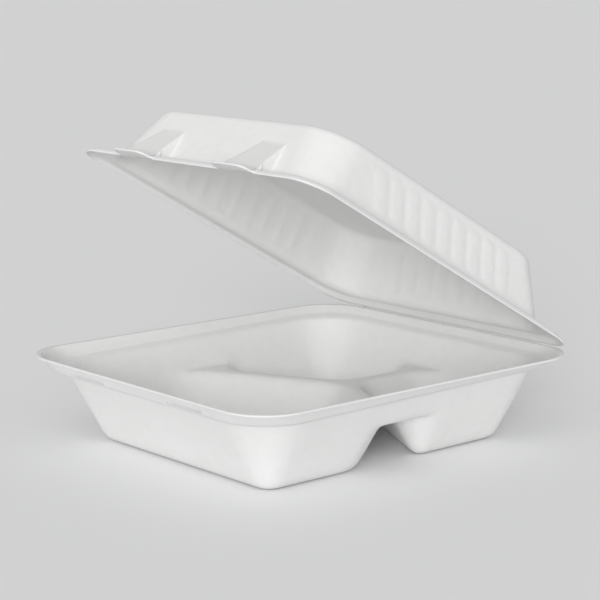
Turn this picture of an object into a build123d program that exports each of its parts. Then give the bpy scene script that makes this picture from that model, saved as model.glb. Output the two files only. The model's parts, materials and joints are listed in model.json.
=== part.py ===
from build123d import *
import math
import os

# Hinged food container with three compartments, pressed from sugarcane fibre, its lid partly open.
# Millimetres. X runs along the front edge, Y from the front to the hinge, Z up.
# The origin is on the table, under the middle of the whole container.
# Depths are measured down from the tray's rim and heights up from the lid's edge.

# Sheet and tray outline
sheet = 1.0
tray_width = 203.2
tray_length = 228.6
tray_height = 47.6
tray_corner_radius = 25.5

# Stepped rim: a flat lip, a riser down to a shelf, then the wall
lip_width = 2.6
riser_draft = 25.0
riser_fillet = 1.6
shelf_depth = 6.2
shelf_inset = 11.2
shelf_fillet = 3.0
wall_draft = 28.0
wall_corner_radius = 30.5
floor_fillet = 6.0

# Dividers: a chevron that points at the hinge, and a middle rib from its peak to the back wall
crest_depth = 21.0
crest_width = 10.0
crest_fillet = 3.0
chevron_angle = 27.0
chevron_peak = 38.0
front_pocket_radius = 29.0
back_pocket_radius = 22.0
peak_radius = 24.0

# Lid: a turned-down skirt, a flat flange, drafted walls and a flat top
lid_side_step = 7.0
lid_front_step = 8.5
lid_height = 36.8
lid_corner_radius = 19.0
skirt_height = 4.1
skirt_lean = 0.6
skirt_fillet = 1.6
hinge_band = 4.0
foot_side = 10.4
foot_front = 10.4
foot_back = 12.0
foot_radius = 19.5
foot_fillet = 2.0
top_side = 19.2
top_front = 20.6
top_back = 25.7
top_radius = 22.5
top_fillet = 4.8

# Flutes pressed outwards in the lid's side and back walls
flute_pitch = 12.7
flute_chord = 10.6
flute_relief = 1.0
flute_end = 3.0
flute_bottom = 7.5
flute_top = 31.0
side_flutes = 9
back_flutes = 7
side_flute_middle = 3.8

# Latch: two tongues on the lid's front edge, each below a ramp, and their slits in the tray's riser
tongue_width = 26.5
tongue_spacing = 78.0
tongue_reach = 7.4
tongue_corner = 6.0
ramp_top = 20.0
slit_clearance = 0.3
slit_height = 1.6
slit_depth = 3.6

# Hinge along the back edge
hinge_gap = 0.4
open_angle = 29.2
overrun = 5.0

half_width = tray_width / 2
half_length = tray_length / 2
down = (0, 0, -1)
wall_slope = math.tan(math.radians(wall_draft))
riser_slope = math.tan(math.radians(riser_draft))
chevron = math.radians(chevron_angle)
chevron_mid = chevron_peak * math.cos(chevron)


def sloped(skin, slope):
    """Horizontal thickness of a sheet that leans by the given run per unit of depth."""
    return skin * math.hypot(1, slope)


def wall_inset(depth, skin):
    """Distance of the tray's wall from the tray's outline at one depth."""
    return shelf_inset + (depth - shelf_depth) * wall_slope - sloped(skin, wall_slope)


def wall_radius(depth, skin):
    """Corner radius of the tray's wall at one depth."""
    return wall_corner_radius + shelf_inset - wall_inset(depth, skin)


def tray_plan(inset, radius, depth):
    """Rounded rectangle at one depth of the tray."""
    plan = RectangleRounded(tray_width - 2 * inset, tray_length - 2 * inset, radius)
    return Pos(0, 0, -depth) * plan


def round_corners(plan, corners):
    """Round the named corners of a flat plan, each with its own radius."""
    for x, y, radius in corners:
        corner = plan.vertices().sort_by_distance((x, y, 0))[0]
        plan = fillet(corner, radius)
    return plan


def pocket_plans(depth, skin):
    """Plans of the front compartment and of the two back ones at one depth."""
    shrink = (depth - crest_depth) * wall_slope - sloped(skin, wall_slope)
    x = half_width - wall_inset(depth, skin)
    y = half_length - wall_inset(depth, skin)
    corner = wall_radius(depth, skin)
    front = chevron_mid - crest_width / 2 - shrink
    back = chevron_mid + crest_width / 2 + shrink
    middle = crest_width / 2 + shrink

    def flank(distance, across):
        return (distance - math.sin(chevron) * abs(across)) / math.cos(chevron)

    peak = (0, flank(front, 0))
    ends = [(x, flank(front, x)), (-x, flank(front, x))]
    outline = [(-x, -y), (x, -y), ends[0], peak, ends[1]]
    rounds = [(-x, -y, corner), (x, -y, corner), (*peak, peak_radius - shrink)]
    rounds += [(*end, front_pocket_radius - shrink) for end in ends]
    plans = [round_corners(make_face(Polyline(*outline, close=True)), rounds)]
    for side in (1, -1):
        near = (side * middle, flank(back, middle))
        far = (side * x, flank(back, x))
        outline = [near, far, (side * x, y), (side * middle, y)]
        rounds = [(side * x, y, corner)]
        rounds += [(*point, back_pocket_radius - shrink) for point in (near, far, (side * middle, y))]
        plans.append(round_corners(make_face(Polyline(*outline, close=True)), rounds))
    return plans


def edges_at(form, height):
    """Level edges of a form that lie at one height."""
    return form.edges().filter_by_position(Axis.Z, height - sheet / 100, height + sheet / 100)


def tray_form(skin):
    """Solid that fills the tray down to the face that lies skin below its food side."""
    shelf = shelf_depth + skin
    crest = crest_depth + skin
    floor = tray_height - sheet + skin
    riser_inset = lip_width - sloped(skin, riser_slope)
    riser = extrude(tray_plan(riser_inset, tray_corner_radius - riser_inset, 0), amount=shelf, dir=down,
                    taper=riser_draft)
    basin_plan = tray_plan(wall_inset(shelf, skin), wall_radius(shelf, skin), shelf)
    form = riser + extrude(basin_plan, amount=crest - shelf, dir=down, taper=wall_draft)
    for plan in pocket_plans(crest, skin):
        pocket = extrude(Pos(0, 0, -crest) * plan, amount=floor - crest, dir=down, taper=wall_draft)
        rim = pocket.faces().sort_by(Axis.Z)[0].edges()
        form += fillet(rim, floor_fillet + skin)
    form = fillet(edges_at(form, -crest), crest_fillet - skin)
    ledge = form.faces().filter_by(Plane.XY).sort_by_distance((0, 0, -shelf))
    ledge = [face for face in ledge if abs(face.center().Z + shelf) < sheet / 2][0]
    form = fillet(ledge.outer_wire().edges(), riser_fillet + skin)
    return fillet(edges_at(form, -shelf).sort_by_distance((0, 0, -shelf))[: 8], shelf_fillet - skin)


def lid_plan(height, side, front, back, radius):
    """Rounded rectangle at one height of the lid, with its insets from the lid's edge."""
    width = tray_width - 2 * (lid_side_step + side)
    nearest = -half_length + lid_front_step + front
    farthest = half_length - back
    plan = RectangleRounded(width, farthest - nearest, radius)
    return Pos(0, (nearest + farthest) / 2, height) * plan


def lid_form(skin):
    """Solid that fills the lid up to the face that lies skin inside its outer face."""
    flange = skirt_height - skin
    rise = lid_height - skirt_height
    low = 0 if skin == 0 else -overrun

    def at(height, foot, top):
        slope = (top - foot) / rise
        return foot + (height - skirt_height) * slope + sloped(skin, slope)

    def leaning(height, lean):
        slope = lean / skirt_height
        return height * slope + sloped(skin, slope)

    skirt = [lid_plan(z, leaning(z, skirt_lean), leaning(z, skirt_lean), leaning(z, hinge_band),
                      lid_corner_radius - skin) for z in (low, flange)]
    walls = [lid_plan(z, at(z, foot_side, top_side), at(z, foot_front, top_front),
                      at(z, foot_back, top_back), radius - skin)
             for z, radius in ((flange, foot_radius), (lid_height - skin, top_radius))]
    box = loft(walls, ruled=True)
    box = fillet(box.faces().sort_by(Axis.Z)[-1].edges(), top_fillet - skin)
    form = loft(skirt, ruled=True) + box
    ledge = [face for face in form.faces().filter_by(Plane.XY) if face.inner_wires()][0]
    foot = ledge.inner_wires()[0].edges()
    form = fillet(foot, foot_fillet + skin)
    ledge = [face for face in form.faces().filter_by(Plane.XY) if face.inner_wires()][0]
    return fillet(ledge.outer_wire().edges(), skirt_fillet - skin)


def flute(skin):
    """Rounded bar with tapered ends, standing on the middle of its lower end."""
    radius = (flute_chord ** 2 / 4 + flute_relief ** 2) / (2 * flute_relief)
    run = flute_top - flute_bottom
    sunk = radius - 2 * flute_relief - skin
    outline = [(0, 0), (sunk, 0), (radius - skin, flute_end), (radius - skin, run - flute_end), (sunk, run), (0, run)]
    bar = revolve(Plane.XZ * make_face(Polyline(*outline, close=True)), axis=Axis.Z)
    return Pos(flute_relief - radius, 0, 0) * bar


def flutes(skin):
    """All the flutes of the lid, each laid along its wall."""
    rise = lid_height - skirt_height
    side_slope = (top_side - foot_side) / rise
    back_slope = (top_back - foot_back) / rise
    climb = flute_bottom - skirt_height
    x = half_width - lid_side_step - foot_side - climb * side_slope
    y = half_length - foot_back - climb * back_slope
    bars = []
    for index in range(side_flutes):
        along = side_flute_middle + (index - (side_flutes - 1) / 2) * flute_pitch
        for side in (1, -1):
            lean = Plane(origin=(side * x, along, flute_bottom), x_dir=(side, 0, side_slope),
                         z_dir=(-side * side_slope, 0, 1))
            bars.append(lean.location * flute(skin))
    for index in range(back_flutes):
        across = (index - (back_flutes - 1) / 2) * flute_pitch
        lean = Plane(origin=(across, y, flute_bottom), x_dir=(0, 1, back_slope), z_dir=(0, -back_slope, 1))
        bars.append(lean.location * flute(skin))
    return bars


def lid_front_inset(height):
    """Distance of the lid's front wall from the lid's front edge at one height."""
    return foot_front + (height - skirt_height) * (top_front - foot_front) / (lid_height - skirt_height)


def ramp(skin, side):
    """Wedge from the front wall down to the lid's front edge, over one tongue."""
    edge = lid_front_step - half_length
    reach = lid_front_inset(ramp_top)
    slope = reach / (ramp_top - sheet)
    inward = sloped(skin, slope)
    foot = edge + inward
    face = [(foot - overrun * slope, sheet - overrun), (foot + reach, ramp_top), (foot + reach + overrun, ramp_top),
            (foot + reach + overrun, sheet - overrun)]
    width = tongue_width - 2 * skin
    wedge = extrude(Plane.YZ * make_face(Polyline(*face, close=True)), amount=width / 2, both=True)
    floor = Pos(0, edge, 0) * Box(width, 2 * half_length, ramp_top, align=(Align.CENTER, Align.MIN, Align.MIN))
    if skin == 0:
        wedge = wedge & floor
    return Pos(side * tongue_spacing / 2, 0, 0) * wedge


def ramp_gap(skin, side):
    """Room outside the ramp, where the skirt and the flange's edge are left out."""
    edge = lid_front_step - half_length
    reach = lid_front_inset(ramp_top)
    slope = reach / (ramp_top - sheet)
    foot = edge + sloped(skin, slope)
    top = skirt_height + overrun
    low = sheet if skin == 0 else sheet - 2 * overrun
    near = foot + (low - sheet) * slope
    far = foot + (top - sheet) * slope
    face = [(near, low), (far, top), (edge - overrun, top), (edge - overrun, low)]
    width = tongue_width + 2 * skin
    room = extrude(Plane.YZ * make_face(Polyline(*face, close=True)), amount=width / 2, both=True)
    return Pos(side * tongue_spacing / 2, 0, 0) * room


def tongue(side):
    """Flat tongue that reaches past the lid's front edge."""
    edge = lid_front_step - half_length
    root = 2 * sheet
    plan = Rectangle(tongue_width, tongue_reach + root)
    plan = fillet(plan.vertices().group_by(Axis.Y)[0], tongue_corner)
    plate = extrude(plan, amount=sheet)
    return Pos(side * tongue_spacing / 2, edge + root - (tongue_reach + root) / 2, 0) * plate


def slit(side):
    """Slot through the tray's front riser, where a tongue goes in."""
    inset = lip_width + slit_depth * riser_slope
    width = tongue_width + 2 * slit_clearance
    return Pos(side * tongue_spacing / 2, inset - half_length, -slit_depth) * Box(width, 2 * overrun, slit_height)


def base_tray():
    """The tray: lip, riser, shelf, walls and three compartments in one sheet."""
    outline = extrude(tray_plan(0, tray_corner_radius, sheet), amount=sheet)
    tray = outline + tray_form(sheet) - tray_form(0)
    for side in (1, -1):
        tray -= slit(side)
    return tray


def closed_lid():
    """The lid as it lies closed, with its edge plane at zero height."""
    outer = lid_form(0)
    inner = lid_form(sheet)
    outer += flutes(0)
    inner += flutes(sheet)
    for side in (1, -1):
        outer = outer - ramp_gap(0, side) + ramp(0, side)
        inner = inner - ramp_gap(sheet, side) + ramp(sheet, side)
    lid = outer - inner
    for side in (1, -1):
        lid += tongue(side)
    return lid


def hinged(closed):
    """Set the closed lid over the tray and open it about the hinge line."""
    axis_height = tray_height + hinge_gap / 2
    hinge_line = Axis((0, half_length + hinge_gap / 2, axis_height), (-1, 0, 0))
    over_tray = Pos(0, 0, tray_height + hinge_gap) * closed
    return over_tray.rotate(hinge_line, open_angle)


def write(node, piece):
    """Write one piece to its own file."""
    export_step(piece, os.path.join("parts", node + ".step"))
    size = piece.bounding_box().size
    print(f"{node}: {piece.volume:.0f} mm3, {size.X:.1f} x {size.Y:.1f} x {size.Z:.1f} mm")


os.makedirs("parts", exist_ok=True)
write("base_tray", Pos(0, 0, tray_height) * base_tray())
write("lid", hinged(closed_lid()))
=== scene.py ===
"""Hinged sugarcane-fibre food container with three compartments, its lid partly open.

Millimetres in the classes below, metres in the meshes. X runs along the front edge, Y from the
front to the hinge and Z up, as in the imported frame. The tray and the lid are each one pressed
sheet: a grid of loops that starts under the middle, runs out to the trimmed edge and comes back
in over the top.
"""

import json
import logging
import math
from dataclasses import dataclass
from enum import Enum
from typing import Any

import bmesh
import bpy
import numpy as np
from mathutils import Matrix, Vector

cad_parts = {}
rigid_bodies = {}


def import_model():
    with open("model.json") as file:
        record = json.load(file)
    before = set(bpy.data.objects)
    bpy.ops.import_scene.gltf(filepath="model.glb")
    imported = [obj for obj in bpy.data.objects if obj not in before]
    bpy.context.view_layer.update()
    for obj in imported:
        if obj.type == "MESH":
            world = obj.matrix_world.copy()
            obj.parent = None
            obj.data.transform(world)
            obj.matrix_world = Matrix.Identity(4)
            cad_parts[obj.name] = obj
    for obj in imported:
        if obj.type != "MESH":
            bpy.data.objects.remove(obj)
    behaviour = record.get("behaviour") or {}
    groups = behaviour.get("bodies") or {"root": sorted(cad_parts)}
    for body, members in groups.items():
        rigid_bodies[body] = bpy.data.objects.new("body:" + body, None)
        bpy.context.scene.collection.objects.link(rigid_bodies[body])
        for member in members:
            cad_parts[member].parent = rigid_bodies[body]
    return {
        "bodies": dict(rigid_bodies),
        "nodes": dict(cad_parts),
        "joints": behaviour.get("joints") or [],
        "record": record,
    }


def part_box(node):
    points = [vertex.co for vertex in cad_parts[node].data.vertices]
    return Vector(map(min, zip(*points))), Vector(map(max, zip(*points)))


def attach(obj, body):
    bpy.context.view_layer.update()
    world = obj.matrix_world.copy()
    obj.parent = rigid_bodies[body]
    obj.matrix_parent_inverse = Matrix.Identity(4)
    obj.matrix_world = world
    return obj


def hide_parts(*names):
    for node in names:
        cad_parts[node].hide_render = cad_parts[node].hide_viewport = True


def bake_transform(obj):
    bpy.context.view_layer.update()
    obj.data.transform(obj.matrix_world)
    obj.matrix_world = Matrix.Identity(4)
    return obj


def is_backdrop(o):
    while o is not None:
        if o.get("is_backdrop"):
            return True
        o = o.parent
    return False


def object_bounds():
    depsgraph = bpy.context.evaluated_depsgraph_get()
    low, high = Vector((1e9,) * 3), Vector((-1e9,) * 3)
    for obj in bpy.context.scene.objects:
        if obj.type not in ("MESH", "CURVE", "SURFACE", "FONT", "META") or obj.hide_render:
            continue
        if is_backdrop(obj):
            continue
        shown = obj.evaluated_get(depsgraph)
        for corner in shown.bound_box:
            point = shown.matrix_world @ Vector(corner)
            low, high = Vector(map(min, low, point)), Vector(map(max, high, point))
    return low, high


MM = 0.001
TRIM_MASK = "trimmed_edge"
FOLD_STEPS = 6
WELD_DISTANCE = 0.004
NO_LENGTH = 1e-6
LEVEL_TOLERANCE = 0.01
LOG = logging.getLogger("container")


class Body(Enum):
    """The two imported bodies."""

    TRAY = "tray"
    COVER = "cover"


# Shapes shared by the tray and the lid


def rounded_line(points: list[tuple[float, float]], radii: list[float], steps: int) -> np.ndarray:
    """Line through the points with an arc at each inner one.

    An arc of radius r turns by the angle a between its two runs and starts r * tan(a / 2) before
    the corner.

    Args:
        points: Corners of the line.
        radii: Arc radius at each inner corner.
        steps: Points on each arc, less one.

    Returns:
        The points of the finished line, one row each.
    """
    corners = np.array(points, float)
    line = [corners[0]]
    for before, corner, after, radius in zip(corners, corners[1:], corners[2:], radii):
        back = (before - corner) / np.linalg.norm(before - corner)
        onward = (after - corner) / np.linalg.norm(after - corner)
        half = math.acos(float(np.clip(back @ onward, -1, 1))) / 2
        run = radius / math.tan(half)
        middle = corner + (back + onward) / np.linalg.norm(back + onward) * radius / math.sin(half)
        start, end = corner + back * run - middle, corner + onward * run - middle
        turn = math.pi - 2 * half
        share = np.linspace(0, 1, steps + 1)[:, None]
        arc = (np.sin((1 - share) * turn) * start + np.sin(share * turn) * end) / math.sin(turn)
        line.extend(middle + arc)
    line.append(corners[-1])
    return np.array(line)


def along(*stretches: tuple[float, float, float]) -> np.ndarray:
    """Stops from the first stretch's start up to the last one's end, which is left out.

    Args:
        stretches: Start, end and widest step of each stretch.

    Returns:
        The stops, in order.
    """
    return np.concatenate([np.linspace(a, b, max(1, math.ceil(abs(b - a) / step)), endpoint=False)
                           for a, b, step in stretches])


def soft_max(a: np.ndarray, b: np.ndarray, radius: float) -> np.ndarray:
    """The larger of two heights, rounded where they cross: max(a, b) + (r - |a - b|)^2 / 4r."""
    near = np.clip(radius - np.abs(a - b), 0, None)
    return np.maximum(a, b) + near * near / (4 * radius)


def soft_min(a: np.ndarray, b: np.ndarray, radius: float) -> np.ndarray:
    """The smaller of two heights, rounded where they cross."""
    return -soft_max(-a, -b, radius)


def eased(value: np.ndarray, start: float, end: float) -> np.ndarray:
    """Smooth step 3t^2 - 2t^3 from 0 at the start to 1 at the end."""
    t = np.clip((value - start) / (end - start), 0, 1)
    return t * t * (3 - 2 * t)


@dataclass
class Loop:
    """Stops round a rounded rectangle, anticlockwise from its front left.

    A point is the corner centre, or a stop between two of them, plus the corner radius times the
    outward direction there.
    """

    front: np.ndarray
    side: np.ndarray
    back: np.ndarray
    corner_steps: int = 14

    def __post_init__(self) -> None:
        """Work out each stop's place between the corner centres and its direction."""
        turn = np.linspace(0, math.pi / 2, self.corner_steps, endpoint=False)
        arc = np.stack([np.sin(turn), -np.cos(turn)], 1)
        cx, cy, out = [], [], []

        def straight(x: np.ndarray, y: np.ndarray, direction: tuple[int, int]) -> None:
            cx.append(x)
            cy.append(y)
            out.append(np.tile(np.array(direction, float), (len(x), 1)))

        def bend(x: int, y: int, quarter: int) -> None:
            spin = np.linalg.matrix_power(np.array([[0, 1], [-1, 0]]), quarter)
            cx.append(np.full(self.corner_steps, float(x)))
            cy.append(np.full(self.corner_steps, float(y)))
            out.append(arc @ spin)

        straight(self.front, np.full(len(self.front), -1.0), (0, -1))
        bend(1, -1, 0)
        straight(np.ones(len(self.side)), self.side, (1, 0))
        bend(1, 1, 1)
        straight(-self.back, np.ones(len(self.back)), (0, 1))
        bend(-1, 1, 2)
        straight(-np.ones(len(self.side)), -self.side, (-1, 0))
        bend(-1, -1, 3)
        self.cx, self.cy = np.concatenate(cx), np.concatenate(cy)
        self.out = np.concatenate(out)
        self.weight_side = self.out[:, 0] ** 2
        self.weight_front = np.where(self.out[:, 1] < 0, self.out[:, 1] ** 2, 0)
        self.weight_back = np.where(self.out[:, 1] > 0, self.out[:, 1] ** 2, 0)

    def place(self, ahead: np.ndarray, behind: np.ndarray, share: np.ndarray, held: float,
              core: np.ndarray | float) -> np.ndarray:
        """Distance of each stop from the middle, in columns that keep their place from loop to loop.

        Up to held * core from the middle a stop stays at share * core, and past it the stops
        spread evenly to the corner centre.

        Args:
            ahead: Distance from the middle to the corner centre on the plus side, for each loop.
            behind: The same on the minus side.
            share: Place of each stop between the corner centres, -1 to 1.
            held: Share of the core over which the columns are held.
            core: Distance over which the shares are measured.

        Returns:
            One row for each loop and one column for each stop.
        """
        reach = np.where(share[None, :] < 0, behind[:, None], ahead[:, None])
        inner = np.minimum(core, reach)
        size = np.abs(share)[None, :]
        past = held * inner + (size - held) / (1 - held) * (reach - held * inner)
        return np.sign(share)[None, :] * np.where(size <= held, size * inner, past)


def normals(sheet: np.ndarray) -> np.ndarray:
    """Unit normals of a grid of loops: the way round crossed with the way in."""
    inward = np.gradient(sheet, axis=0)
    around = np.roll(sheet, -1, axis=1) - np.roll(sheet, 1, axis=1)
    cross = np.cross(around, inward)
    length = np.linalg.norm(cross, axis=2, keepdims=True)
    flat = length < NO_LENGTH
    return np.where(flat, np.array([0.0, 0.0, 1.0]), cross / np.where(flat, 1, length))


@dataclass
class Shell:
    """A pressed sheet made from its upper face.

    The lower face lies the sheet's thickness below the upper one along its normals, and a rounded
    trim closes the two.
    """

    upper: np.ndarray
    thickness: float
    trim: float = 0.22
    trim_fade: float = 0.3

    def build(self, name: str, holes: np.ndarray | None = None) -> bpy.types.Object:
        """Make the mesh.

        Args:
            name: Name of the piece.
            holes: True for each cell of the upper face that is cut out through the sheet.

        Returns:
            The object, at the origin.
        """
        loops, stops = self.upper.shape[:2]
        normal = normals(self.upper)
        lower = self.upper - normal * self.thickness
        outward = self.upper[:1] - self.upper[1:2]
        outward /= np.linalg.norm(outward, axis=2, keepdims=True)
        edge = (self.upper[:1] + lower[:1]) / 2 + outward * self.trim
        grid = np.concatenate([lower[::-1], edge, self.upper])
        total = 2 * loops + 1
        index = np.arange(total * stops).reshape(total, stops)
        beside = np.roll(index, -1, axis=1)
        quads = np.stack([index[:-1], beside[:-1], beside[1:], index[1:]], axis=2)
        keep = np.ones((total - 1, stops), bool)
        walls = np.zeros((0, 4), int)
        if holes is not None:
            keep[loops + 1:] = ~holes
            keep[:loops - 1] = ~holes[::-1]
            walls = self.hole_walls(holes, index, loops)
        faces = np.concatenate([quads[keep], walls])
        trimmed = np.zeros((total, stops))
        trimmed[loops - 2:loops + 3] = self.trim_fade
        trimmed[loops - 1:loops + 2] = 1
        flat = np.arange(len(faces)) >= keep.sum()
        return mesh_object(name, grid.reshape(-1, 3), faces, trimmed.ravel(), flat)

    @staticmethod
    def hole_walls(holes: np.ndarray, index: np.ndarray, loops: int) -> np.ndarray:
        """Quads through the sheet round each hole, facing into it.

        Args:
            holes: True for each cell of the upper face that is cut out.
            index: Vertex numbers of the whole grid.
            loops: Number of loops on one face.

        Returns:
            Four vertex numbers for each quad.
        """
        upper, lower = index[loops + 1:], index[:loops][::-1]
        stops = holes.shape[1]
        none = np.zeros((1, stops), bool)
        sides = (
            (np.roll(holes, 1, axis=1), (0, 0), (1, 0)),
            (np.roll(holes, -1, axis=1), (1, 1), (0, 1)),
            (np.vstack([none, holes[:-1]]), (0, 1), (0, 0)),
            (np.vstack([holes[1:], none]), (1, 0), (1, 1)))
        walls = []
        for neighbours, first, last in sides:
            row, col = np.nonzero(holes & ~neighbours)
            a = row + first[0], (col + first[1]) % stops
            b = row + last[0], (col + last[1]) % stops
            walls.append(np.stack([upper[a], upper[b], lower[b], lower[a]], 1))
        return np.concatenate(walls)


def mesh_object(name: str, points: np.ndarray, faces: np.ndarray, trimmed: np.ndarray,
                flat: np.ndarray | None = None) -> bpy.types.Object:
    """Put points and quads into a new smooth object, with points that meet made one.

    Args:
        name: Name of the piece.
        points: Points in millimetres, one row each.
        faces: Vertex numbers, four to a row.
        trimmed: The trimmed edge's mask at each point, 0 to 1.
        flat: True for each quad that is shaded flat.

    Returns:
        The object, at the origin.
    """
    mesh = bpy.data.meshes.new(name)
    mesh.vertices.add(len(points))
    mesh.vertices.foreach_set("co", (points * MM).ravel())
    mesh.loops.add(faces.size)
    mesh.loops.foreach_set("vertex_index", faces.ravel())
    mesh.polygons.add(len(faces))
    mesh.polygons.foreach_set("loop_start", np.arange(0, faces.size, 4))
    mesh.update(calc_edges=True)
    layer = mesh.attributes.new(TRIM_MASK, "FLOAT", "POINT")
    layer.data.foreach_set("value", trimmed.astype(np.float32))
    mesh.polygons.foreach_set("use_smooth", np.ones(len(faces), bool) if flat is None else ~flat)
    work = bmesh.new()
    work.from_mesh(mesh)
    bmesh.ops.remove_doubles(work, verts=work.verts, dist=WELD_DISTANCE * MM)
    work.to_mesh(mesh)
    work.free()
    mesh.update()
    obj = bpy.data.objects.new(name, mesh)
    bpy.context.scene.collection.objects.link(obj)
    return obj


# Tray


@dataclass
class Tray:
    """The tray: lip, riser, sloping shelf, drafted walls and three compartments."""

    width: float
    length: float
    height: float
    sheet: float = 1.0
    corner_radius: float = 25.5
    least_corner_radius: float = 3.0
    edge_inset: float = 0.25
    lip_width: float = 2.0
    shelf_inset: float = 6.6
    shelf_depth: float = 5.0
    shelf_tilt: float = 1.6
    wall_inset: float = 11.4
    wall_depth: float = 6.9
    wall_draft: float = 28.0
    wall_radius: float = 29.0
    wall_start: float = 3.2
    lip_fold: float = 1.2
    shelf_fold: float = 1.6
    wall_fold: float = 5.0
    crest_depth: float = 21.7
    crest_width: float = 10.0
    crest_fold: float = 3.0
    floor_fold: float = 6.5
    chevron_angle: float = 27.0
    chevron_peak: float = 34.4
    front_pocket_radius: float = 29.0
    back_pocket_radius: float = 22.0
    far_corner_radius: float = 17.0
    peak_radius: float = 24.0
    softness: float = 1.6
    softness_span: float = 3.0
    cell: float = 0.4
    cell_margin: float = 1.001
    slit_spacing: float = 81.0
    slit_width: float = 27.1
    slit_depth: float = 3.6
    slit_height: float = 1.0
    riser_steps: int = 8
    rim_rows: int = 30
    pocket_fold_steps: int = 24
    wall_step: float = 0.95
    middle_step: float = 1.35
    loop_step: float = 1.6
    front_step: float = 1.75
    blend_run: float = 1.6
    lean_run: float = 8.0
    held_share: float = 0.92

    def slope(self) -> float:
        """Run of the wall inwards for each unit of depth."""
        return math.tan(math.radians(self.wall_draft))

    def rim(self) -> np.ndarray:
        """Inset and height of the upper face from the lip's edge to below the shelf."""
        last_inset = self.wall_inset + self.wall_start
        last_depth = self.wall_depth + (last_inset - self.wall_inset) / self.slope()
        line = rounded_line(
            [(self.edge_inset, 0), (self.lip_width, 0), (self.shelf_inset, -self.shelf_depth),
             (self.wall_inset, -self.wall_depth), (last_inset, -last_depth)],
            [self.lip_fold, self.shelf_fold, self.wall_fold], FOLD_STEPS)
        row = FOLD_STEPS + 2
        fold, cut = line[row - 1], -self.slit_depth + self.slit_height / 2 * np.array([1, -1])
        stops = np.linspace(fold[1], cut[1], self.riser_steps)[1:-1]
        stops = np.sort(np.concatenate([stops, cut]))[::-1]
        slope = (self.shelf_inset - self.lip_width) / self.shelf_depth
        riser = np.stack([self.lip_width - stops * slope, stops], 1)
        riser = riser[(riser[:, 1] < fold[1]) & (riser[:, 1] > line[row, 1])]
        return np.concatenate([line[:row], riser, line[row:]])

    def corner_at(self, inset: np.ndarray) -> np.ndarray:
        """Corner radius of the loop at each inset."""
        spread = self.corner_radius + (self.wall_radius - self.corner_radius) * inset / self.wall_inset
        radius = np.where(inset < self.wall_inset, spread, self.wall_radius - (inset - self.wall_inset))
        return np.minimum(np.maximum(radius, self.least_corner_radius), np.maximum(self.width / 2 - inset, 0))

    def pocket_depth(self, inside: np.ndarray) -> np.ndarray:
        """Depth below the crest at each distance inside a compartment's outline."""
        floor = self.height - self.sheet - self.crest_depth
        wide = self.width
        line = rounded_line([(-wide, 0), (0, 0), (floor * self.slope(), floor), (wide, floor)],
                            [self.crest_fold, self.floor_fold], self.pocket_fold_steps)
        return np.interp(inside, line[:, 0], line[:, 1])

    @staticmethod
    def meeting(a: np.ndarray, b: np.ndarray, turn: float, radius: float) -> np.ndarray:
        """Distance inside the corner of two lines, rounded by an arc of the given radius.

        With u = r - a, v = r - b and g the cosine between the lines' normals, the distance to the
        arc's centre is sqrt((u^2 + v^2 - 2guv) / (1 - g^2)).
        """
        u, v = radius - a, radius - b
        centre = np.sqrt(np.maximum(u * u + v * v - 2 * turn * u * v, 0) / (1 - turn * turn))
        in_arc = (u - turn * v > 0) & (v - turn * u > 0)
        return np.where(in_arc, radius - centre, np.minimum(a, b))

    def compartments(self, x: np.ndarray, y: np.ndarray) -> np.ndarray:
        """Depth below the crest of the three compartments at each place.

        Args:
            x: Places across.
            y: Places from front to back.

        Returns:
            The depth, 0 on the dividers' crests.
        """
        angle = math.radians(self.chevron_angle)
        inset = self.wall_inset + (self.crest_depth - self.wall_depth) * self.slope()
        corner = self.wall_radius + self.wall_inset - inset
        right, back = self.width / 2 - inset, self.length / 2 - inset
        away = np.abs(x)
        half = self.crest_width / 2
        middle = self.chevron_peak * math.cos(angle)
        flank = y * math.cos(angle) + away * math.sin(angle)
        mirrored = y * math.cos(angle) - away * math.sin(angle)
        side, near, far = right - away, y + back, back - y
        sine = math.sin(angle)
        front_flank, other_flank = middle - half - flank, middle - half - mirrored
        front = np.minimum.reduce([
            self.meeting(side, near, 0.0, corner),
            self.meeting(side, front_flank, sine, self.front_pocket_radius),
            self.meeting(front_flank, other_flank, math.cos(2 * angle), self.peak_radius)])
        back_flank, rib = flank - middle - half, away - half
        rear = np.minimum.reduce([
            self.meeting(side, far, 0.0, corner),
            self.meeting(side, back_flank, -sine, self.far_corner_radius),
            self.meeting(rib, back_flank, sine, self.back_pocket_radius),
            self.meeting(rib, far, 0.0, self.back_pocket_radius)])
        return self.pocket_depth(np.maximum(front, rear))

    def relief(self) -> tuple[np.ndarray, np.ndarray, np.ndarray]:
        """Height of the upper face inside the rim, on a level grid.

        The walls and the compartments meet at max(wall, crest - depth), and a Gaussian of the
        sheet's softness rounds what is left sharp.

        Returns:
            Stops across, stops from front to back, and the heights.
        """
        xs = np.arange(-self.width / 2, self.width / 2 + self.cell, self.cell)
        ys = np.arange(-self.length / 2, self.length / 2 + self.cell, self.cell)
        x, y = np.meshgrid(xs, ys)
        reach_x = self.width / 2 - self.wall_inset - np.abs(x)
        reach_y = self.length / 2 - self.wall_inset - np.abs(y)
        wall = -self.wall_depth - self.meeting(reach_x, reach_y, 0.0, self.wall_radius) / self.slope()
        height = np.maximum(wall, -self.crest_depth - self.compartments(x, y))
        span = int(self.softness_span * self.softness / self.cell) + 1
        kernel = np.exp(-0.5 * (np.arange(-span, span + 1) * self.cell / self.softness) ** 2)
        kernel /= kernel.sum()
        for axis in (0, 1):
            padded = np.pad(height, [(span, span) if a == axis else (0, 0) for a in (0, 1)], mode="edge")
            height = sum(weight * np.take(padded, np.arange(height.shape[axis]) + step, axis=axis)
                         for step, weight in enumerate(kernel))
        return xs, ys, height

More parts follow.
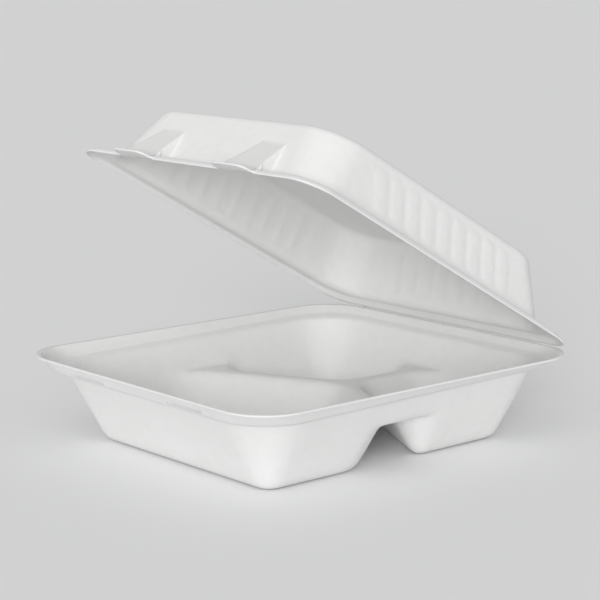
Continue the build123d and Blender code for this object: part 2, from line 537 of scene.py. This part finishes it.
    def height_at(self, x: np.ndarray, y: np.ndarray) -> np.ndarray:
        """Height of the pressed face at each place, read between the grid's stops."""
        xs, ys, height = self.relief()
        column = np.clip((x - xs[0]) / self.cell, 0, len(xs) - self.cell_margin)
        row = np.clip((y - ys[0]) / self.cell, 0, len(ys) - self.cell_margin)
        c, r = column.astype(int), row.astype(int)
        u, v = column - c, row - r
        return ((height[r, c] * (1 - u) + height[r, c + 1] * u) * (1 - v)
                + (height[r + 1, c] * (1 - u) + height[r + 1, c + 1] * u) * v)

    def cores(self) -> tuple[float, float]:
        """Distances from the middle to the corner centres at the walls' head: across and deep."""
        return (self.width / 2 - self.wall_inset - self.wall_radius,
                self.length / 2 - self.wall_inset - self.wall_radius)

    def loop(self) -> Loop:
        """Stops round the tray, with one at each end of each slit."""
        core, deep = self.cores()
        ends = [side * self.slit_spacing / 2 + end * self.slit_width / 2
                for side in (-1, 1) for end in (-1, 1)]
        stops = sorted([-core, *ends, core])
        front = along(*[(a, b, self.front_step) for a, b in zip(stops, stops[1:])]) / core
        side = along((-deep, deep, self.loop_step)) / deep
        return Loop(front, side, along((-core, core, self.loop_step)) / core)

    def face(self) -> tuple[np.ndarray, Loop, np.ndarray]:
        """Upper face of the tray.

        Returns:
            The points of each loop, the loop's stops, and the height of the rim's loops.
        """
        loop, rim = self.loop(), self.rim()
        core, deep = self.cores()
        blend = rim[-1, 0]
        walls = along((blend + self.wall_step, self.width / 4, self.wall_step),
                      (self.width / 4, self.width / 2, self.middle_step))
        inset = np.concatenate([rim[:, 0], walls, [self.width / 2]])
        corner = self.corner_at(inset)
        reach_x, reach_y = self.width / 2 - inset - corner, self.length / 2 - inset - corner
        x = loop.place(reach_x, reach_x, loop.cx, self.held_share, core)
        y = loop.place(reach_y, reach_y, loop.cy, self.held_share, deep)
        x = x + corner[:, None] * loop.out[:, 0]
        y = y + corner[:, None] * loop.out[:, 1]
        pressed = self.height_at(x, y)
        profile = np.interp(inset, rim[:, 0], rim[:, 1])[:, None]
        share = eased(inset, blend - self.blend_run, blend)[:, None]
        lean = np.interp(inset, [self.lip_width, self.shelf_inset, self.wall_inset, blend + self.lean_run],
                         [0, 1, 1, 0])[:, None]
        tilt = self.shelf_tilt * lean * y / (self.length / 2)
        z = profile * (1 - share) + pressed * share + tilt
        return np.stack([x, y, z], axis=2), loop, profile[:, 0]

    def slits(self, loop: Loop, level: np.ndarray) -> np.ndarray:
        """Cells of the upper face that the two slits cut out."""
        middle = (loop.cx + np.roll(loop.cx, -1)) / 2 * self.cores()[0]
        front = loop.out[:, 1] == -1
        between = np.abs(np.abs(middle) - self.slit_spacing / 2) < self.slit_width / 2
        depth = -(level[:-1] + level[1:]) / 2
        on_rim = np.arange(len(depth)) < self.rim_rows
        riser = on_rim & (np.abs(depth - self.slit_depth) < self.slit_height / 2)
        return riser[:, None] & (front & between)[None, :]

    def build(self) -> bpy.types.Object:
        """Make the tray's mesh, standing on the table."""
        upper, loop, level = self.face()
        holes = self.slits(loop, level)
        upper = upper + np.array([0, 0, self.height])
        return Shell(upper, self.sheet).build("pressed_tray", holes)


# Lid


@dataclass
class Lid:
    """The lid: skirt, flange, fluted walls, flat top, and a ramp and a tongue for each slit."""

    width: float
    length: float
    hinge_y: float
    hinge_z: float
    open_angle: float
    gap: float = 0.4
    sheet: float = 1.0
    side_step: float = 5.0
    front_step: float = 8.0
    height: float = 36.8
    corner_radius: float = 16.0
    skirt_height: float = 3.4
    skirt_lean: float = 2.6
    skirt_fold: float = 2.8
    hinge_band: float = 8.0
    edge_height: float = 0.5
    hinge_edge_height: float = 0.6
    foot_side: float = 12.4
    foot_front: float = 10.9
    foot_back: float = 12.0
    foot_radius: float = 19.5
    foot_fold: float = 3.4
    top_side: float = 21.2
    top_front: float = 21.1
    top_back: float = 25.7
    top_radius: float = 22.5
    least_radius: float = 2.0
    top_fold: float = 4.8
    flute_pitch: float = 12.7
    flute_chord: float = 10.8
    flute_relief: float = 0.34
    side_flute_lean: float = 0.2
    flute_end: float = 4.5
    flute_power: float = 2.6
    flute_bottom: float = 7.5
    flute_top: float = 31.0
    side_flutes: int = 9
    back_flutes: int = 7
    side_flute_middle: float = 3.8
    tongue_width: float = 26.5
    tongue_spacing: float = 81.0
    tongue_reach: float = 7.4
    tongue_corner: float = 6.0
    tongue_blend: float = 0.7
    ramp_top: float = 23.0
    ramp_side_draft: float = 12.0
    ramp_fold: float = 0.9
    ramp_margin: float = 1.3
    ramp_inner_margin: float = 0.4
    ramp_slack: tuple[float, float] = (2.0, 4.0)
    held_share: float = 0.95
    skirt_steps: int = 5
    flange_steps: int = 7
    wall_steps: int = 30
    plain_step: float = 2.4
    front_plain_step: float = 2.2
    ramp_step: float = 0.5
    flute_step: float = 1.05
    panel_step: float = 6.0

    def front_edge(self) -> float:
        """Place of the lid's front edge when it is shut."""
        return self.front_step - self.length / 2

    def section(self, foot: float, top: float, lean: float, edge: float) -> np.ndarray:
        """Inset and height of the outer face over one side, from the skirt's edge to the top.

        Args:
            foot: Inset of the wall's foot on the flange.
            top: Inset of the wall's head below the top.
            lean: Inset of the skirt's head from its edge.
            edge: Height of the skirt's edge.

        Returns:
            One row for each loop, as many for every side.
        """
        share = edge / self.skirt_height
        line = rounded_line(
            [(lean * share, edge), (lean, self.skirt_height), (foot, self.skirt_height),
             (top, self.height), (top + 2 * self.top_fold, self.height)],
            [self.skirt_fold * (1 + lean / self.hinge_band), self.foot_fold, self.top_fold], FOLD_STEPS)
        skirt, flange, head = np.split(line[1:], [FOLD_STEPS + 1, 2 * FOLD_STEPS + 2])
        low = line[0] + (skirt[0] - line[0]) * np.linspace(0, 1, self.skirt_steps)[:-1, None]
        shelf = skirt[-1] + (flange[0] - skirt[-1]) * np.linspace(0, 1, self.flange_steps)[1:-1, None]
        wall = flange[-1] + (head[0] - flange[-1]) * np.linspace(0, 1, self.wall_steps + 1)[1:-1, None]
        return np.concatenate([low, skirt, shelf, flange, wall, head])

    def between(self, share: float) -> tuple[float, float, float]:
        """Corner centres at a share of the wall's rise: across, nearest and farthest."""
        radius = self.foot_radius + (self.top_radius - self.foot_radius) * share
        feet = self.foot_side, self.foot_front, self.foot_back
        tops = self.top_side, self.top_front, self.top_back
        insets = [foot + (top - foot) * share for foot, top in zip(feet, tops)]
        return (self.width / 2 - self.side_step - insets[0] - radius,
                self.front_edge() + insets[1] + radius, self.length / 2 - insets[2] - radius)

    def cores(self) -> tuple[float, float, float, float]:
        """Distances over which the stops are measured: front, back and side, then the sides' middle."""
        near, far = self.between(0)[1:]
        middle = (near + far) / 2
        across, nearest, farthest = self.between(1)
        ramp = (self.ramp_top - self.skirt_height) / (self.height - self.skirt_height)
        return self.between(ramp)[0], across, min(farthest - middle, middle - nearest), middle

    def loop(self) -> Loop:
        """Stops round the lid, closest at the sides of the ramps and along the flutes."""
        front_core, back_core, deep, middle = self.cores()
        draft = (self.ramp_top - self.skirt_height) * math.tan(math.radians(self.ramp_side_draft))
        outer = self.tongue_width / 2 + self.ramp_margin
        inner = self.tongue_width / 2 - draft - self.ramp_inner_margin
        stops = [-front_core]
        for side in (-1, 1):
            stops += [side * self.tongue_spacing / 2 + end for end in (-outer, -inner, inner, outer)]
        stops.append(front_core)
        steps = [self.front_plain_step, self.ramp_step] * 4 + [self.front_plain_step]
        front = along(*[(a, b, step) for a, b, step in zip(stops, stops[1:], steps)]) / front_core
        reach = self.back_flutes * self.flute_pitch / 2
        back = self.fluted_side(-back_core, -reach, reach, back_core) / back_core
        flutes = self.side_flutes * self.flute_pitch / 2
        low, high = self.side_flute_middle - flutes - middle, self.side_flute_middle + flutes - middle
        return Loop(front, self.fluted_side(-deep, low, high, deep) / deep, back)

    def fluted_side(self, start: float, low: float, high: float, end: float) -> np.ndarray:
        """Stops along a wall, closer between the low and the high end of its flutes."""
        return along((start, low, self.plain_step), (low, high, self.flute_step),
                     (high, end, self.plain_step))

    def face(self) -> tuple[np.ndarray, Loop]:
        """Outer face of the shut lid before its flutes, ramps and tongues, edge plane at 0.

        Returns:
            The points of each loop, and the loop's stops.
        """
        loop = self.loop()
        side = self.section(self.foot_side, self.top_side, self.skirt_lean, self.edge_height)
        front = self.section(self.foot_front, self.top_front, self.skirt_lean, self.edge_height)
        back = self.section(self.foot_back, self.top_back, self.hinge_band, self.hinge_edge_height)
        rows = len(side)
        half = self.width / 2 - self.side_step
        panel = along((self.panel_step / 2, half - side[-1, 0], self.panel_step))
        panel = np.append(panel, half - side[-1, 0])
        level = np.full(len(panel), self.height)
        side, front, back = (np.vstack([run, np.stack([run[-1, 0] + panel, level], 1)])
                             for run in (side, front, back))
        share = np.clip((side[:, 1] - self.skirt_height) / (self.height - self.skirt_height), 0, 1)
        radius = self.corner_radius + (self.foot_radius - self.corner_radius) * np.clip(
            side[:, 0] / self.foot_side, 0, 1) + (self.top_radius - self.foot_radius) * share
        shrunk = np.maximum(radius - (side[:, 0] - side[rows - 1, 0]), self.least_radius)
        radius = np.where(np.arange(len(side)) >= rows, shrunk, radius)
        front_core, back_core, deep, middle = self.cores()
        reach_x = half - side[:, 0]
        near = middle - (self.front_edge() + front[:, 0])
        far = self.length / 2 - back[:, 0] - middle
        radius = np.minimum(radius, np.minimum(reach_x, np.minimum(near, far)))
        across = np.where(loop.out[:, 1] < 0, front_core, back_core)[None, :]
        x = loop.place(reach_x - radius, reach_x - radius, loop.cx, self.held_share, across)
        y = loop.place(far - radius, near - radius, loop.cy, self.held_share, deep)
        x = x + radius[:, None] * loop.out[:, 0]
        y = y + radius[:, None] * loop.out[:, 1] + middle
        z = side[:, 1:] * loop.weight_side + front[:, 1:] * loop.weight_front + back[:, 1:] * loop.weight_back
        return np.stack([x, y, z], axis=2), loop

    def flute_relief_at(self, place: np.ndarray, level: np.ndarray, middle: float, count: int,
                        lean: float) -> np.ndarray:
        """Height of the flutes over a wall: relief * (1 - |u|^power - |v|^power), none below zero.

        Args:
            place: Distance along the wall.
            level: Height of each point.
            middle: Place of the middle flute.
            count: Number of flutes.
            lean: Run along the wall for each unit of height, from its head down.

        Returns:
            The relief at each point.
        """
        half_way = (self.flute_top + self.flute_bottom) / 2
        offset = (place - middle - lean * (half_way - level)) / self.flute_pitch + (count - 1) / 2
        nearest = np.clip(np.round(offset), 0, count - 1)
        u = np.abs(offset - nearest) * self.flute_pitch / (self.flute_chord / 2)
        half = (self.flute_top - self.flute_bottom) / 2
        v = np.clip(np.abs(level - half_way) - (half - self.flute_end), 0, None) / self.flute_end
        return self.flute_relief * np.clip(1 - u ** self.flute_power - v ** self.flute_power, 0, 1)

    def with_flutes(self, face: np.ndarray, loop: Loop) -> np.ndarray:
        """The face with its flutes raised along its normals."""
        side = (np.abs(loop.out[:, 0]) == 1)[None, :]
        back = (loop.out[:, 1] == 1)[None, :]
        level = face[:, :, 2]
        along_side = self.flute_relief_at(face[:, :, 1], level, self.side_flute_middle, self.side_flutes,
                                          self.side_flute_lean)
        relief = np.where(side, along_side, 0)
        along_back = self.flute_relief_at(face[:, :, 0], level, 0.0, self.back_flutes, 0.0)
        relief = np.where(back, along_back, relief)
        return face + normals(face) * relief[:, :, None]

    def with_latch(self, face: np.ndarray, loop: Loop) -> np.ndarray:
        """The face with a ramp raised over each tongue, and the tongue in place of the skirt.

        The ramp is the plane z = sheet + (y - edge) * (top - sheet) / reach between two steep sides,
        and the face takes the larger of it and its own height. Past the edge the tongue lies level,
        its outline rounded by r - sqrt(r^2 - c^2).
        """
        edge = self.front_edge()
        rise = (self.top_front - self.foot_front) / (self.height - self.skirt_height)
        reach = self.foot_front + (self.ramp_top - self.skirt_height) * rise
        x, y, z = face[:, :, 0], face[:, :, 1], face[:, :, 2]
        front = (loop.out[:, 1] == -1)[None, :]
        off = np.abs(np.abs(x) - self.tongue_spacing / 2)
        half = self.tongue_width / 2
        slope = (self.ramp_top - self.sheet) / reach
        plane = self.sheet + (y - edge) * slope
        steep = 1 / math.tan(math.radians(self.ramp_side_draft))
        sides = self.skirt_height + (half - off) * steep
        ramp = soft_min(plane, sides, self.ramp_fold)
        inside = front & (off < half + self.ramp_slack[0]) & (y < edge + reach + self.ramp_slack[1])
        lifted = np.where(inside, soft_max(z, ramp, self.ramp_fold), z)
        skirt_rows = int(np.argmax(z[:, 0] > self.skirt_height - LEVEL_TOLERANCE))
        level_rows = skirt_rows - 2
        row = np.arange(len(face))[:, None]
        past = np.clip(off - (half - self.tongue_corner), 0, self.tongue_corner)
        tip = self.tongue_reach - self.tongue_corner + np.sqrt(self.tongue_corner ** 2 - past ** 2)
        out = np.clip(1 - row / level_rows, 0, 1)
        flat_y = edge + np.where(row <= level_rows, -tip * out, np.maximum(y - edge, 0))
        ramp_z = np.maximum(self.sheet, self.sheet + (flat_y - edge) * slope)
        latch = np.where(front & (row <= skirt_rows), 1 - eased(off, half, half + self.tongue_blend), 0)
        new_y = y * (1 - latch) + flat_y * latch
        new_z = np.where(row <= skirt_rows, z * (1 - latch) + ramp_z * latch, lifted)
        return np.stack([x, new_y, new_z], axis=2)

    def opened(self, points: np.ndarray) -> np.ndarray:
        """Points of the shut lid turned about the hinge line by the open angle."""
        turn = math.radians(self.open_angle)
        dy, dz = points[..., 1] - self.hinge_y, points[..., 2] - self.hinge_z
        return np.stack([points[..., 0], self.hinge_y + math.cos(turn) * dy + math.sin(turn) * dz,
                         self.hinge_z - math.sin(turn) * dy + math.cos(turn) * dz], axis=-1)

    def build(self) -> bpy.types.Object:
        """Make the lid's mesh, open over the tray."""
        face, loop = self.face()
        face = self.with_latch(self.with_flutes(face, loop), loop)
        face = face + np.array([0, 0, self.hinge_z + self.gap / 2])
        return Shell(self.opened(face), self.sheet).build("pressed_lid")


@dataclass
class HingeStrip:
    """The fold between the tray's lip and the lid's edge, a thin strip curved to the lid's open angle."""

    lid: Lid
    reach: float = 73.0
    thickness: float = 0.5
    overlap: float = 0.55
    inset: float = 0.35
    end_turn: float = 112.0
    steps: int = 12
    columns: int = 60

    def build(self) -> bpy.types.Object:
        """Make the strip as an arc about the hinge line, from the tray's lip to the lid's edge."""
        turn = np.linspace(0, 1, self.steps)
        radius = self.lid.gap / 2 + self.overlap
        start, end = math.radians(-self.end_turn), math.radians(self.end_turn - self.lid.open_angle)
        angle = start + (end - start) * turn
        line = np.stack([self.lid.hinge_y - self.inset + radius * np.cos(angle),
                         self.lid.hinge_z + radius * np.sin(angle)], 1)
        out = np.stack([np.cos(angle), np.sin(angle)], 1)
        section = np.concatenate([line, (line - out * self.thickness)[::-1]])
        across = np.linspace(-self.reach, self.reach, self.columns)
        places = across[:, None], section[None, :, 0], section[None, :, 1]
        grid = np.stack(np.broadcast_arrays(*places), axis=2)
        rows, cols = grid.shape[:2]
        index = np.arange(rows * cols).reshape(rows, cols)
        beside = np.roll(index, -1, axis=1)
        quads = np.stack([index[:-1], beside[:-1], beside[1:], index[1:]], axis=2).reshape(-1, 4)
        half, caps = self.steps, []
        for row, flip in ((0, True), (rows - 1, False)):
            ring = index[row]
            cap = np.stack([ring[:half - 1], ring[1:half], ring[::-1][1:half], ring[::-1][:half - 1]], 1)
            caps.append(cap[:, ::-1] if flip else cap)
        faces = np.concatenate([quads, *caps])
        return mesh_object("hinge_fold", grid.reshape(-1, 3), faces, np.zeros(rows * cols))


# Finishes


class NodeSheet:
    """A small helper that adds nodes and links to one node tree."""

    def __init__(self, tree: bpy.types.NodeTree) -> None:
        """Hold the tree that the nodes go to."""
        self.tree = tree

    def add(self, kind: str, links: dict[Any, Any] | None = None, **values: Any) -> bpy.types.Node:
        """Add a node.

        Args:
            kind: Blender's node type.
            links: Input name or number to the socket or plain value that goes in.
            values: Settings of the node.

        Returns:
            The node.
        """
        node = self.tree.nodes.new(kind)
        for name, value in values.items():
            setattr(node, name, value)
        for key, source in (links or {}).items():
            if isinstance(source, bpy.types.NodeSocket):
                self.tree.links.new(source, node.inputs[key])
            else:
                node.inputs[key].default_value = source
        return node

    def math(self, operation: str, *sources: Any) -> bpy.types.NodeSocket:
        """Result of a maths node."""
        return self.add("ShaderNodeMath", dict(enumerate(sources)), operation=operation).outputs[0]


def fibre_group() -> bpy.types.NodeTree:
    """Node group for pressed pulp: short fibres lying every way, faint clumps and a drying-mesh print.

    Returns:
        The group, with Vector, Fibre Size, Mesh Size and Mesh Print in, and Height and Clumps out.
    """
    tilt_share, middle, ridge_height = 0.7, 0.5, 0.25
    clump_span, clump_share, print_depth = 6.0, 0.9, 0.08
    group = bpy.data.node_groups.new("pressed_pulp", "ShaderNodeTree")
    face = group.interface
    face.new_socket("Vector", in_out="INPUT", socket_type="NodeSocketVector")
    for name, default in (("Fibre Size", 0.0009), ("Mesh Size", 0.0011), ("Mesh Print", 0.2)):
        face.new_socket(name, in_out="INPUT", socket_type="NodeSocketFloat").default_value = default
    face.new_socket("Height", in_out="OUTPUT", socket_type="NodeSocketFloat")
    face.new_socket("Clumps", in_out="OUTPUT", socket_type="NodeSocketFloat")
    sheet = NodeSheet(group)
    source = sheet.add("NodeGroupInput").outputs
    scale = sheet.math("DIVIDE", 1.0, source["Fibre Size"])
    fibres = []
    for turn, stretch in ((0.35, (1, 0.16, 0.5)), (1.45, (1, 0.14, 0.6)), (2.5, (0.8, 0.18, 1))):
        turned = sheet.add("ShaderNodeMapping", {
            "Vector": source["Vector"], "Rotation": (turn, turn * tilt_share, turn),
            "Scale": stretch}).outputs[0]
        noise = sheet.add("ShaderNodeTexNoise", {
            "Vector": turned, "Scale": scale, "Detail": 2.0, "Roughness": 0.6}).outputs["Fac"]
        ridge = sheet.math("ABSOLUTE", sheet.math("SUBTRACT", noise, middle))
        fibres.append(sheet.math("SUBTRACT", ridge_height, ridge))
    lying = sheet.math("MAXIMUM", sheet.math("MAXIMUM", fibres[0], fibres[1]), fibres[2])
    coarse = sheet.add("ShaderNodeTexNoise", {
        "Vector": source["Vector"], "Scale": sheet.math("DIVIDE", scale, clump_span), "Detail": 3.0,
        "Roughness": 0.55}).outputs["Fac"]
    wires = sheet.math("DIVIDE", 2 * math.pi, source["Mesh Size"])
    parts = sheet.add("ShaderNodeSeparateXYZ", {"Vector": source["Vector"]}).outputs
    waves = [sheet.math("SINE", sheet.math("MULTIPLY", parts[name], wires)) for name in ("X", "Y", "Z")]
    weave = sheet.math("ADD", sheet.math("ADD", waves[0], waves[1]), waves[2])
    print_height = sheet.math("MULTIPLY", sheet.math("MULTIPLY", weave, print_depth), source["Mesh Print"])
    clumps = sheet.math("MULTIPLY", coarse, clump_share)
    height = sheet.math("ADD", sheet.math("ADD", lying, clumps), print_height)
    out = sheet.add("NodeGroupOutput")
    group.links.new(height, out.inputs["Height"])
    group.links.new(coarse, out.inputs["Clumps"])
    return group


@dataclass(frozen=True)
class PressedFibre:
    """Matte off-white pressed sugarcane fibre, evenly pale along its trimmed edge."""

    name: str = "pressed_sugarcane_fibre"
    colour: tuple[float, float, float] = (0.80, 0.80, 0.795)
    shade: tuple[float, float, float] = (0.775, 0.775, 0.768)
    edge: tuple[float, float, float] = (0.80, 0.80, 0.795)
    roughness: float = 0.66
    roughness_spread: float = 0.16
    specular: float = 0.32
    bump_strength: float = 0.55
    bump_distance: float = 0.00042
    tone_ends: tuple[float, float] = (0.32, 0.62)
    drift_scale: float = 38.0
    drift_share: float = 0.4

    def material(self, pulp: bpy.types.NodeTree) -> bpy.types.Material:
        """Make the material.

        Args:
            pulp: Node group of the pressed pulp.

        Returns:
            The material.
        """
        material = bpy.data.materials.new(self.name)
        material.use_nodes = True
        material.node_tree.nodes.clear()
        sheet = NodeSheet(material.node_tree)
        place = sheet.add("ShaderNodeTexCoord").outputs["Object"]
        trim = sheet.add("ShaderNodeAttribute", attribute_name=TRIM_MASK).outputs["Fac"]
        fibres = sheet.add("ShaderNodeGroup", node_tree=pulp)
        material.node_tree.links.new(place, fibres.inputs["Vector"])
        clumps = fibres.outputs["Clumps"]
        drift = sheet.add("ShaderNodeTexNoise", {
            "Vector": place, "Scale": self.drift_scale, "Detail": 2.0}).outputs["Fac"]
        mixed = sheet.math("ADD", sheet.math("MULTIPLY", clumps, 1 - self.drift_share),
                           sheet.math("MULTIPLY", drift, self.drift_share))
        tone = sheet.add("ShaderNodeValToRGB", {"Fac": mixed})
        shades = self.shade, self.colour
        for end, position, shade in zip(tone.color_ramp.elements, self.tone_ends, shades):
            end.position, end.color = position, (*shade, 1)
        colour = sheet.add("ShaderNodeMix", {
            "Factor": trim, "A": tone.outputs["Color"], "B": (*self.edge, 1)},
            data_type="RGBA").outputs["Result"]
        rough = sheet.math("ADD", sheet.math("MULTIPLY", clumps, self.roughness_spread), self.roughness)
        bump = sheet.add("ShaderNodeBump", {
            "Height": fibres.outputs["Height"], "Strength": self.bump_strength,
            "Distance": self.bump_distance}).outputs[0]
        surface = sheet.add("ShaderNodeBsdfPrincipled", {
            "Base Color": colour, "Roughness": rough, "Normal": bump, "Specular IOR Level": self.specular})
        out = sheet.add("ShaderNodeOutputMaterial")
        material.node_tree.links.new(surface.outputs[0], out.inputs["Surface"])
        return material


@dataclass(frozen=True)
class Backdrop:
    """Plain pale matte floor."""

    colour: tuple[float, float, float] = (0.9, 0.902, 0.905)
    roughness: float = 0.9
    specular: float = 0.1

    def material(self) -> bpy.types.Material:
        """Make the floor's material."""
        material = bpy.data.materials.new("pale_floor")
        material.use_nodes = True
        shader = material.node_tree.nodes["Principled BSDF"]
        shader.inputs["Base Color"].default_value = (*self.colour, 1)
        shader.inputs["Roughness"].default_value = self.roughness
        shader.inputs["Specular IOR Level"].default_value = self.specular
        return material


# Studio


@dataclass
class Viewpoint:
    """The photograph's camera: degrees and millimetres from the middle of the tray's rim."""

    rim_height: float
    azimuth: float = 48.9
    elevation: float = 10.588
    distance: float = 1029.7
    aim_right: float = -0.2
    aim_up: float = 28.2
    focal_pixels: float = 1911.0
    frame_pixels: float = 600.0
    sensor_width: float = 36.0

    def build(self) -> None:
        """Add the camera and make it the scene's own."""
        azimuth, elevation = math.radians(self.azimuth), math.radians(self.elevation)
        level = math.cos(elevation)
        back = np.array([math.sin(azimuth) * level, -math.cos(azimuth) * level, math.sin(elevation)])
        right = np.cross([0, 0, 1], back)
        right /= np.linalg.norm(right)
        up = np.cross(back, right)
        aim = self.aim_right * right + self.aim_up * up
        place = aim + self.distance * back + np.array([0, 0, self.rim_height])
        data = bpy.data.cameras.new("view_of_container")
        data.sensor_width = self.sensor_width
        data.lens = data.sensor_width * self.focal_pixels / self.frame_pixels
        camera = bpy.data.objects.new("view_of_container", data)
        matrix = Matrix.Identity(4)
        for column, axis in enumerate((right, up, back, place * MM)):
            for row in range(3):
                matrix[row][column] = float(axis[row])
        camera.matrix_world = matrix
        bpy.context.scene.collection.objects.link(camera)
        bpy.context.scene.camera = camera


@dataclass
class Studio:
    """Floor, even light from the room and two soft lamps."""

    room: float = 0.52
    key: float = 1.65
    key_spread: float = 26.0
    key_azimuth: float = 43.0
    key_elevation: float = 11.0
    fill: float = 0.5
    fill_spread: float = 50.0
    fill_azimuth: float = 34.0
    fill_elevation: float = 36.0
    floor_size: float = 60.0

    @staticmethod
    def lamp(name: str, strength: float, spread: float, azimuth: float, elevation: float) -> None:
        """Add a wide soft sun that shines from the given azimuth and elevation."""
        data = bpy.data.lights.new(name, "SUN")
        data.energy = strength
        data.angle = math.radians(spread)
        lamp = bpy.data.objects.new(name, data)
        lamp.rotation_euler = (math.radians(90 - elevation), 0, math.radians(azimuth))
        bpy.context.scene.collection.objects.link(lamp)

    def build(self) -> None:
        """Add the floor and the lamps, and set the room's light."""
        self.lamp("soft_key", self.key, self.key_spread, self.key_azimuth, self.key_elevation)
        self.lamp("soft_top", self.fill, self.fill_spread, self.fill_azimuth, self.fill_elevation)
        world = bpy.data.worlds.new("studio_room")
        world.use_nodes = True
        world.node_tree.nodes["Background"].inputs["Color"].default_value = (1, 1, 1, 1)
        world.node_tree.nodes["Background"].inputs["Strength"].default_value = self.room
        bpy.context.scene.world = world
        half = self.floor_size / 2
        mesh = bpy.data.meshes.new("studio_floor")
        rim = [(-half, -half, 0), (half, -half, 0), (half, half, 0), (-half, half, 0)]
        mesh.from_pydata(rim, [], [(0, 1, 2, 3)])
        floor = bpy.data.objects.new("studio_floor", mesh)
        bpy.context.scene.collection.objects.link(floor)
        mesh.materials.append(Backdrop().material())
        floor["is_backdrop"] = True
        bpy.context.scene.view_settings.view_transform = "Standard"


# Container


@dataclass
class Container:
    """The whole container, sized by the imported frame."""

    frame: dict[str, Any]

    def build(self) -> Tray:
        """Build and dress the tray, the lid and the fold between them.

        Returns:
            The tray, for the sizes that the camera needs.
        """
        low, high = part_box("base_tray")
        size = (high - low) / MM
        joint = self.frame["joints"][0]
        hinge_y, hinge_z = joint["pos_m"][1] / MM, joint["pos_m"][2] / MM
        tray = Tray(width=size.x, length=size.y, height=size.z)
        lid = Lid(width=size.x, length=size.y, hinge_y=hinge_y, hinge_z=hinge_z,
                  open_angle=-joint["range_deg"][0])
        strip = HingeStrip(lid)
        finish = PressedFibre().material(fibre_group())
        tray_piece, lid_piece, strip_piece = tray.build(), lid.build(), strip.build()
        for piece in (tray_piece, lid_piece, strip_piece):
            piece.data.materials.append(finish)
            LOG.info("%s: %d faces", piece.name, len(piece.data.polygons))
        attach(tray_piece, Body.TRAY.value)
        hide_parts("base_tray")
        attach(lid_piece, Body.COVER.value)
        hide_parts("lid")
        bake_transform(strip_piece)
        return tray


def corners(box: Any) -> list[list[float]]:
    """A box's two corners as plain lists of numbers."""
    return [[float(value) for value in corner] for corner in box]


def main() -> None:
    """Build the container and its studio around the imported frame."""
    logging.basicConfig(level=logging.INFO, format="%(message)s")
    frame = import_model()
    packed = corners(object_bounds())
    tray = Container(frame).build()
    Viewpoint(rim_height=tray.height).build()
    Studio().build()
    {"packed": packed, "dressed": corners(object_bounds())}


if __name__ == "__main__":
    main()
